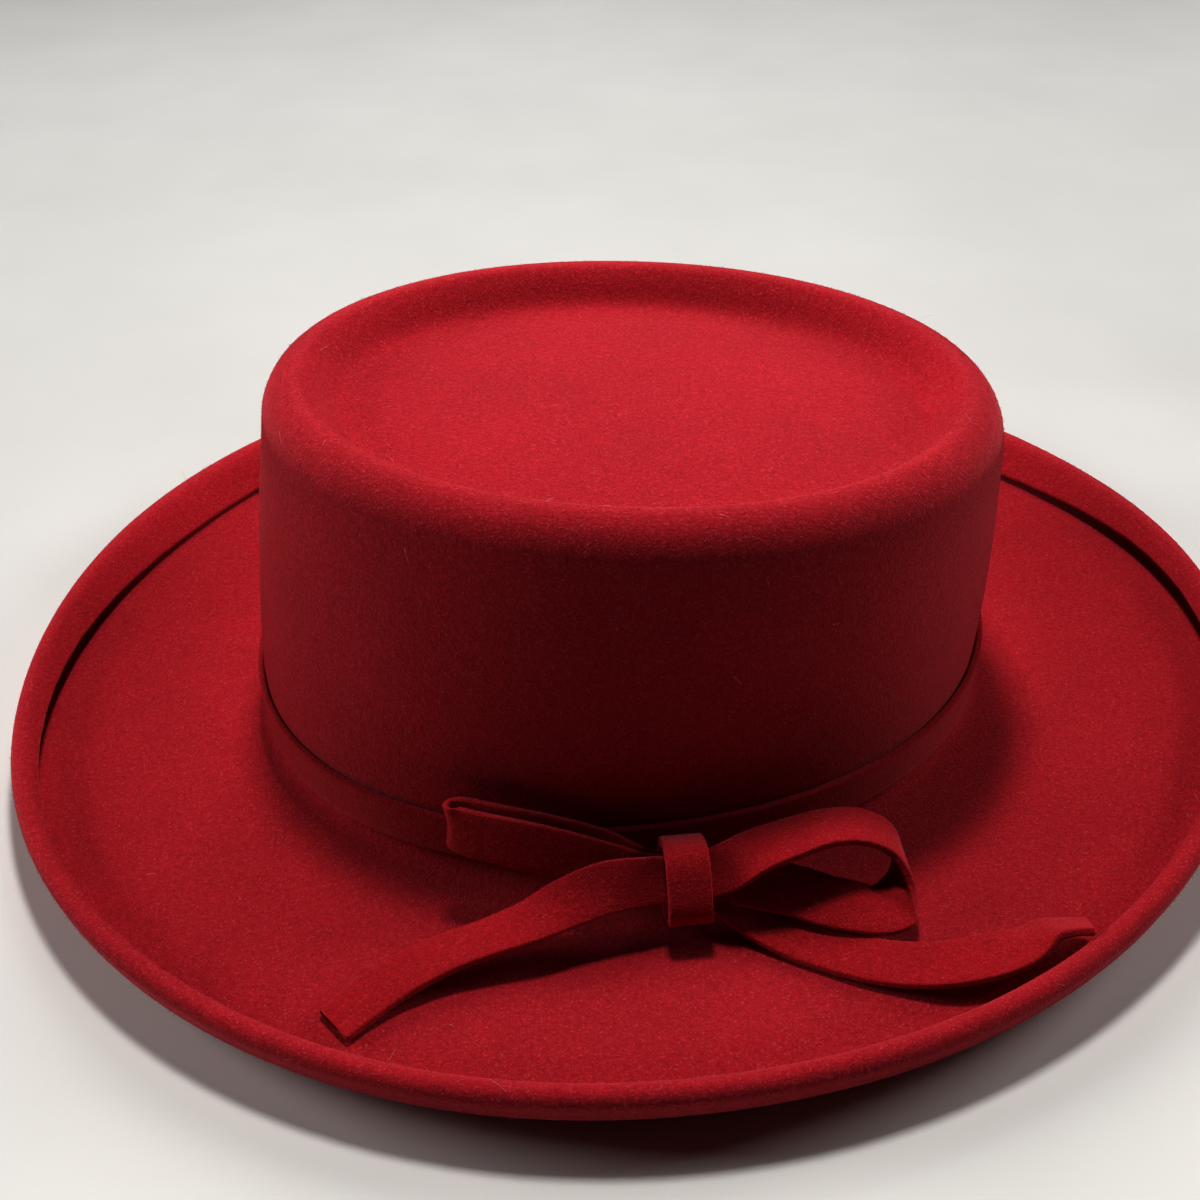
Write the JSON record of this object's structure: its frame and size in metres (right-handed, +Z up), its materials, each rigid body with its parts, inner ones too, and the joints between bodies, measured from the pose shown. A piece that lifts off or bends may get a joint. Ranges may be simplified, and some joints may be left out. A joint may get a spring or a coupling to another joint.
{
  "type": "felt hat with rolled brim",
  "caption": "Soft wool-felt hat: flat crown with a recessed oval tip, wide brim rolled up and inward at its edge, felt band and a felt bow beside the crown.",
  "frame": {"origin": "on the surface the hat stands on, under the middle of its outline", "axes": "+Z up out of the crown, +X along the head opening's long axis, -Y towards the side with the bow"},
  "size_m": [0.3522, 0.3106, 0.1043],
  "materials": {
    "felt": "napped",
    "felt_trim": "napped"
  },
  "bodies": {
    "root": {"hat_body": "felt", "crown_band": "felt_trim", "bow_loop_left": "felt_trim", "bow_loop_right": "felt_trim", "bow_tail_left": "felt_trim", "bow_tail_right": "felt_trim", "bow_knot": "felt_trim"}
  },
  "joints": []
}
